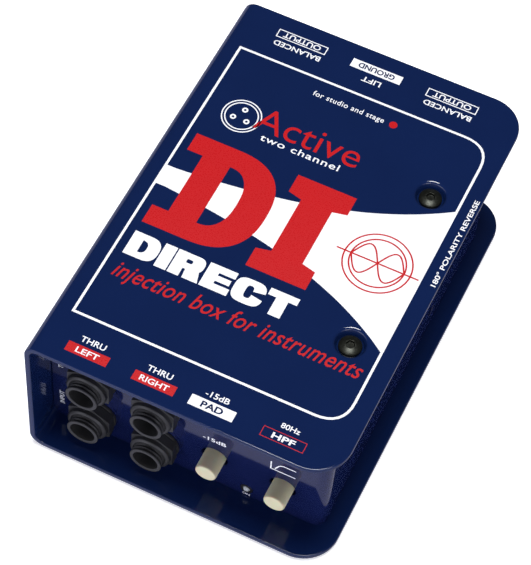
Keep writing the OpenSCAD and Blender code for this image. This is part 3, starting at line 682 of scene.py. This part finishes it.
class INJECTION_OT_cover(bpy.types.Operator):
    """Cover and chassis with painted, softly rounded sheet edges"""

    bl_idname = "injection.cover"
    bl_label = "Cover and chassis"

    def execute(self, context):
        settings = context.scene.injection_cover
        soften("outer_shell", "painted_cover", settings.edge)
        soften("inner_chassis", "painted_chassis", settings.chassis_edge, steps=2)
        soften("base_pad", "non_slip_pad", 0.3, steps=2)
        return {"FINISHED"}


class INJECTION_OT_fasteners(bpy.types.Operator):
    """Screws with eased heads and sockets"""

    bl_idname = "injection.fasteners"
    bl_label = "Screws"

    def execute(self, context):
        soften("top_shell_screws", "cover_screws_top", 0.15, steps=2)
        soften("bottom_shell_screws", "cover_screws_bottom", 0.12, steps=2)
        soften("xlr_screws", "output_socket_screws", 0.12, steps=2)
        return {"FINISHED"}


class INJECTION_OT_jacks(bpy.types.Operator):
    """Four jack sockets with their nuts and washers"""

    bl_idname = "injection.jacks"
    bl_label = "Jack sockets"

    def execute(self, context):
        for place in ("left_upper", "left_lower", "right_upper", "right_lower"):
            soften(f"jack_{place}_body", f"jack_socket_{place}", 0.35)
        soften("jack_nuts", "jack_hex_nuts", 0.25)
        soften("jack_washers", "jack_flat_washers", 0.2, steps=2)
        return {"FINISHED"}


class INJECTION_OT_buttons(bpy.types.Operator):
    """Push buttons, and their return springs"""

    bl_idname = "injection.buttons"
    bl_label = "Push buttons"

    def execute(self, context):
        for switch in ("pad", "filter", "lift"):
            soften(f"{switch}_button_cap", f"{switch}_push_button", 0.35)
        soften("polarity_button_cap", "polarity_push_button", 0.2)
        for joint in frame["joints"]:
            switch = joint["name"].removesuffix("_press")
            node = f"{switch}_switch_spring"
            piece = place_piece(
                f"{switch}_return_spring", merged_copy(node, f"{switch}_return_spring"),
                BODY_OF_NODE[node], SLOT_OF_NODE[node], [node])
            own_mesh(piece)
        return {"FINISHED"}


class INJECTION_OT_light(bpy.types.Operator):
    """Power light and its bezel"""

    bl_idname = "injection.light"
    bl_label = "Power light"

    def execute(self, context):
        soften("light_bezel", "light_bezel_ring", 0.2, steps=2)
        soften("power_light", "light_lens_dome", 0.1, steps=2)
        return {"FINISHED"}


class INJECTION_OT_outputs(bpy.types.Operator):
    """Output sockets at the rear"""

    bl_idname = "injection.outputs"
    bl_label = "Output sockets"

    def execute(self, context):
        for side in ("left", "right"):
            soften(f"{side}_xlr_housing", f"{side}_output_housing", 0.35)
            soften(f"{side}_xlr_insert", f"{side}_output_insert", 0.2, steps=2)
            soften(f"{side}_xlr_pins", f"{side}_output_pins", 0.12, steps=2)
        return {"FINISHED"}


class INJECTION_OT_interior(bpy.types.Operator):
    """Finishes for every CAD node that stays as it is"""

    bl_idname = "injection.interior"
    bl_label = "Interior finishes"

    def execute(self, context):
        for node, piece in frame["nodes"].items():
            piece.data.materials.clear()
            piece.data.materials.append(finish_of(SLOT_OF_NODE[node]))
        return {"FINISHED"}


class INJECTION_OT_artwork(bpy.types.Operator):
    """Border, flare, letters and labels printed on the cover and the front panel"""

    bl_idname = "injection.artwork"
    bl_label = "Printed art"

    def execute(self, context):
        art = context.scene.injection_art
        left = COVER_LOW.x / MM + art.border_left
        right = COVER_HIGH.x / MM - art.border_right
        front = COVER_LOW.y / MM + art.border_front
        back = COVER_HIGH.y / MM - art.border_back
        self.panel_art(art, left, right, front, back)
        self.big_letters()
        self.headline(art)
        self.edge_labels()
        self.front_panel(art)
        return {"FINISHED"}

    def panel_art(self, art, left, right, front, back):
        """The border, the flare that opens from the left border to the right one, and a ring with two
        opposite waves for a balanced signal."""
        white = top_drawing()
        white.outline(left, front, right, back, art.border_line,
                      (0, art.border_corner, art.border_corner, 0))
        x = np.concatenate([[left + art.border_line], np.linspace(-50, right - art.border_line, 60)])
        axis = -0.9
        half = flare_half_height(x, start=-50, middle=4.9, growth=4.3, reach=50)
        white.ribbon(np.column_stack([x, axis - half]), np.column_stack([x, axis + half]))
        white.make("border_and_flare", "white_ink")

        mark = top_drawing()
        middle, wave_half, wave_height, line_half = 38.4, 11.0, 7.2, 17.1
        for radius in (13.6, 11.1):
            mark.stroke(circle(middle, axis, radius, 72), art.mark_line, INK_OVERPRINT, closed=True)
        x = np.linspace(-wave_half, wave_half, 61)
        for step, height in enumerate((wave_height, -wave_height), 1):
            wave = np.column_stack([middle + x, axis + height * np.sin(math.pi * x / wave_half)])
            mark.stroke(wave, art.mark_line, INK_OVERPRINT + INK_STEP * step)
        mark.box(middle - line_half, axis - art.mark_line / 2,
                 middle + line_half, axis + art.mark_line / 2, INK_OVERPRINT + INK_STEP * 3)
        mark.make("balanced_signal_mark", "red_ink")

    def big_letters(self):
        """Two large slab letters, 48 mm tall, in red over the flare."""
        red = top_drawing()
        low, high, slab = -24.7, 23.3, 9.0
        red.ribbon(bowl(-43.5, -8.6, low, high, 2.5), bowl(-31.5, -21.4, low + slab, high - slab, 2.5),
                   INK_OVERPRINT, closed=True)
        for bottom, top in ((low, low + slab), (high - slab, high)):
            red.box(LETTERS_LEFT, bottom, -42.5, top, INK_OVERPRINT + INK_STEP)
        left, right = slab_letter_edges(6.4, low, high, slab, 12.6, 6.6)
        red.ribbon(right, left, INK_OVERPRINT)
        red.make("large_letters", "red_ink")

    def heavy_word(self, ink, left, low):
        """The word under the large letters, 11.4 mm tall and nearly solid, with slits for counters.
        Each letter is its width and its shapes: two facing edges, and whether they close on
        themselves."""
        gap, slit = 0.6, 0.12
        turns = np.linspace(slit, 2 * math.pi - slit, 41)
        ring = np.column_stack([
            np.sign(np.cos(turns)) * np.abs(np.cos(turns)) ** 0.6,
            np.sign(np.sin(turns)) * np.abs(np.sin(turns)) ** 0.6])
        letters = (
            (12.6, [(bowl(0, 12.6, 0, 11.4, 2.6), bowl(4.8, 7.6, 2.8, 8.6, 2.6), True)]),
            (5.0, [([(0, 0), (5.0, 0)], [(0, 11.4), (5.0, 11.4)], False)]),
            (12.8, [(bowl(0, 12.3, 4.1, 11.4, 2.6), bowl(4.8, 7.4, 6.9, 8.7, 2.6), True),
                    ([(0, 0), (4.8, 0)], [(0, 4.3), (4.8, 4.3)], False),
                    ([(6.3, 0), (12.8, 0)], [(5.9, 4.4), (11.4, 4.9)], False)]),
            (11.6, [([(0, 0), (4.9, 0)], [(0, 11.4), (4.9, 11.4)], False),
                    ([(4.7, 0), (11.6, 0)], [(4.7, 3.1), (11.6, 3.1)], False),
                    ([(4.7, 4.4), (10.7, 4.4)], [(4.7, 7.0), (10.7, 7.0)], False),
                    ([(4.7, 8.3), (11.6, 8.3)], [(4.7, 11.4), (11.6, 11.4)], False)]),
            (12.6, [(ring * (6.3, 5.7) + (6.3, 5.7), ring * (1.5, 2.9) + (6.3, 5.7), False)]),
            (12.0, [([(0, 8.2), (12.0, 8.2)], [(0, 11.4), (12.0, 11.4)], False),
                    ([(3.5, 0), (8.5, 0)], [(3.5, 8.4), (8.5, 8.4)], False)]),
        )
        for width, shapes in letters:
            for step, (first, second, closed) in enumerate(shapes):
                ink.ribbon(np.add(first, (left, low)), np.add(second, (left, low)),
                           INK_COAT + INK_STEP * step, closed)
            left += width + gap

    def headline(self, art):
        """Lines of words over and under the large letters, and a plug-face sign."""
        white = top_drawing()
        self.heavy_word(white, LETTERS_LEFT, -40.9)
        white.words("two channel", -10.3, 31.9, 3.1, 34, weight=0.008, gap=1.12)
        white.words("for studio and stage", -2.6, 62.2, 2.5, 31, weight=0.008, gap=1.1)
        sign = (-38.6, 39.2)
        for radius in (8.0, 6.7):
            white.stroke(circle(*sign, radius, 60), art.thin_line, closed=True)
        for pin in circle(*sign, 3.4, 12)[3::4]:
            white.stroke(circle(*pin, 0.9, 24), 0.7, closed=True)
        white.make("white_lettering", "white_ink")

        red = top_drawing()
        red.words("Active", -10.2, 36.2, 11.6, 45, weight=-0.004)
        red.words("injection box for instruments", 1.8, -51.7, 7.2, 103, slant=0.32, weight=0.006, gap=1.05)
        dot_x, dot_y, dot_radius = 17, 63.2, 1.7
        turns = np.linspace(0, math.pi, 20)[1:-1]
        x = dot_x - dot_radius * np.cos(turns)
        red.ribbon(np.column_stack([x, dot_y - dot_radius * np.sin(turns)]),
                   np.column_stack([x, dot_y + dot_radius * np.sin(turns)]))
        red.make("red_lettering", "red_ink")

    def edge_labels(self):
        """Labels along the front, rear and right edges of the top, read from the nearest edge."""
        white, red, blue = top_drawing(), top_drawing(), top_drawing()
        small = {"weight": 0.014}
        plate_low, letter_width = -89.4, 2.35
        for x, word in ((-40.8, "LEFT"), (-13.2, "RIGHT")):
            red.box(x - 8.6, plate_low, x + 8.6, -85.0)
            white.words(word, x, -88.35, 2.4, letter_width * len(word), coat=INK_OVERPRINT, **small)
            white.words("THRU", x, -83.4, 2.5, 10.2, **small)
        white.box(1.4, plate_low, 19.4, -84.8)
        blue.words("PAD", 10.4, -88.4, 2.7, 8.8, weight=0.03, coat=INK_OVERPRINT)
        white.words("-15dB", 10.4, -83.3, 2.4, 9.6, **small)
        red.outline(30.5, plate_low, 47.9, -84.9, 0.28)
        white.words("HPF", 39.3, -88.35, 2.4, 9.2, weight=0.024)
        white.words("80Hz", 39.8, -83.0, 2.2, 7.6, **small)
        for x in (-33.3, 33.3):
            white.outline(x - 11, 83.1, x + 11, 87.4, 0.4)
            white.words("OUTPUT", x, 86.5, 2.5, 16.5, turn=180, **small)
            white.words("BALANCED", x, 81.3, 2.5, 20.6, turn=180, **small)
        white.box(-11, 83.0, 11, 87.4)
        blue.words("GROUND", 0, 86.5, 2.6, 15.8, turn=180, weight=0.03, coat=INK_OVERPRINT)
        white.words("LIFT", 0.2, 80.6, 2.5, 8.2, turn=180, **small)
        white.words("180° POLARITY REVERSE", 62.4, 21.6, 2.1, 45, turn=90, **small)
        white.make("white_edge_labels", "white_ink")
        red.make("red_edge_labels", "red_ink")
        blue.make("navy_edge_labels", "cover_paint")

    def front_panel(self, art):
        """Signs on the front panel: attenuation, filter curve, light and the jack rows."""
        white = front_drawing()
        white.words("-15dB", 9.0, 33.3, 2.3, 9.8, weight=0.012)
        white.stroke([(32.7, 38.0), (32.7, 32.8), (43.0, 32.8)], art.thin_line)
        white.stroke(rounded([(34.4, 33.6), (36.6, 37.9), (43.0, 37.9)], (0, 2.0, 0)),
                     art.thin_line, INK_COAT + INK_STEP)
        white.words("ON", 23.6, 4.3, 1.3, 3.2, weight=0.012)
        white.words("INPUT", -56.0, 17.0, 2.0, 9.0, turn=90, weight=0.01)
        white.words("THRU", -56.0, 42.3, 2.0, 7.5, turn=90, weight=0.01)
        white.make("front_panel_signs", "white_ink")


class INJECTION_OT_stage(bpy.types.Operator):
    """Floor, lights, surroundings and camera"""

    bl_idname = "injection.stage"
    bl_label = "Stage"

    def execute(self, context):
        settings = context.scene.injection_stage
        self.floor()
        self.lights()
        self.surroundings(settings)
        self.camera(settings)
        return {"FINISHED"}

    def floor(self):
        """A plain pale floor at the height of the object's underside."""
        half, level = 4.0, 0.0
        mesh = bpy.data.meshes.new("floor")
        mesh.from_pydata([(-half, -half, level), (half, -half, level), (half, half, level),
                          (-half, half, level)], [], [(0, 1, 2, 3)])
        mesh.materials.append(studio_floor("lit_white_acrylic"))
        floor = bpy.data.objects.new("floor", mesh)
        bpy.context.scene.collection.objects.link(floor)

    def lights(self):
        """A large soft box overhead, and two low ones in front on the left and on the right. Each
        has its place and its side in metres, and its power in watts."""
        rows = [
            ("overhead_softbox", (0.02, 0.0, 1.9), 0.7, 36),
            ("front_left_softbox", (-1.0, -1.8, 0.6), 1.3, 6),
            ("front_right_softbox", (1.3, -1.3, 0.8), 0.9, 4),
        ]
        for name, place, size, power in rows:
            light = bpy.data.lights.new(name, "AREA")
            light.size = size
            light.energy = power
            lamp = bpy.data.objects.new(name, light)
            lamp.location = place
            lamp.rotation_euler = (-Vector(place)).to_track_quat("-Z", "Y").to_euler()
            bpy.context.scene.collection.objects.link(lamp)

    def surroundings(self, settings):
        """A studio with a pale wall low down in front, which rounded edges catch, and dark behind and
        above, so that the top plate has nothing bright to mirror."""
        dark = 0.05
        world = bpy.data.worlds.new("studio")
        world.use_nodes = True
        tree = world.node_tree
        tree.nodes.clear()
        way = add(tree, "ShaderNodeSeparateXYZ", inputs={
            "Vector": add(tree, "ShaderNodeTexCoord").outputs["Generated"]})
        front = add(tree, "ShaderNodeMapRange", {"interpolation_type": "SMOOTHSTEP"}, {
            "Value": way.outputs["Y"], "From Min": 0.0, "From Max": -0.5, "To Min": 0.0, "To Max": 1.0})
        low = add(tree, "ShaderNodeMapRange", {"interpolation_type": "SMOOTHSTEP"}, {
            "Value": way.outputs["Z"], "From Min": 0.7, "From Max": 0.3, "To Min": 0.0, "To Max": 1.0})
        wall = add(tree, "ShaderNodeMath", {"operation": "MULTIPLY"}, {
            0: front.outputs["Result"], 1: low.outputs["Result"]})
        strength = add(tree, "ShaderNodeMath", {"operation": "MULTIPLY_ADD"}, {
            0: wall.outputs[0], 1: settings.wall, 2: dark})
        glow = add(tree, "ShaderNodeBackground", inputs={
            "Color": (*settings.backdrop, 1), "Strength": strength.outputs[0]})
        add(tree, "ShaderNodeOutputWorld", inputs={"Surface": glow.outputs["Background"]})
        bpy.context.scene.world = world
        bpy.context.scene.view_settings.view_transform = "Standard"

    def camera(self, settings):
        """Camera on a sphere round its target, turned about its own axis by the roll."""
        a, e, r = settings.azimuth, settings.elevation, settings.roll
        back = Vector((math.sin(a) * math.cos(e), -math.cos(a) * math.cos(e), math.sin(e)))
        right = Vector((math.cos(a), math.sin(a), 0))
        up = back.cross(right)
        rolled_right = math.cos(r) * right + math.sin(r) * up
        rolled_up = math.cos(r) * up - math.sin(r) * right
        camera = bpy.data.objects.new("camera", bpy.data.cameras.new("camera"))
        camera.data.lens = settings.lens
        camera.data.sensor_width = 36
        camera.data.clip_start = 0.05
        turned = Matrix((rolled_right, rolled_up, back)).transposed().to_4x4()
        place = Vector(settings.target) + back * settings.distance
        camera.matrix_world = Matrix.Translation(place) @ turned
        bpy.context.scene.collection.objects.link(camera)
        bpy.context.scene.camera = camera


OPERATORS = (
    INJECTION_OT_interior, INJECTION_OT_cover, INJECTION_OT_fasteners, INJECTION_OT_jacks,
    INJECTION_OT_buttons, INJECTION_OT_light, INJECTION_OT_outputs, INJECTION_OT_artwork,
    INJECTION_OT_stage,
)


class INJECTION_PT_panel(bpy.types.Panel):
    bl_idname = "INJECTION_PT_panel"
    bl_label = "Direct injection box"
    bl_space_type = "VIEW_3D"
    bl_region_type = "UI"
    bl_category = "Injection Box"

    def draw(self, context):
        for operator in OPERATORS:
            self.layout.operator(operator.bl_idname)
        for name in SETTINGS:
            group = getattr(context.scene, name)
            box = self.layout.box()
            for key in group.__annotations__:
                box.prop(group, key)


CLASSES = (*SETTINGS.values(), *OPERATORS, INJECTION_PT_panel)


def register():
    for item in CLASSES:
        bpy.utils.register_class(item)
    for name, group in SETTINGS.items():
        setattr(bpy.types.Scene, name, PointerProperty(type=group))


def unregister():
    for name in SETTINGS:
        delattr(bpy.types.Scene, name)
    for item in reversed(CLASSES):
        bpy.utils.unregister_class(item)


def main():
    """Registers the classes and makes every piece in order."""
    register()
    bpy.ops.injection.interior()
    bpy.ops.injection.cover()
    bpy.ops.injection.fasteners()
    bpy.ops.injection.jacks()
    bpy.ops.injection.buttons()
    bpy.ops.injection.light()
    bpy.ops.injection.outputs()
    bpy.ops.injection.artwork()
    bpy.ops.injection.stage()


if __name__ == "__main__":
    main()
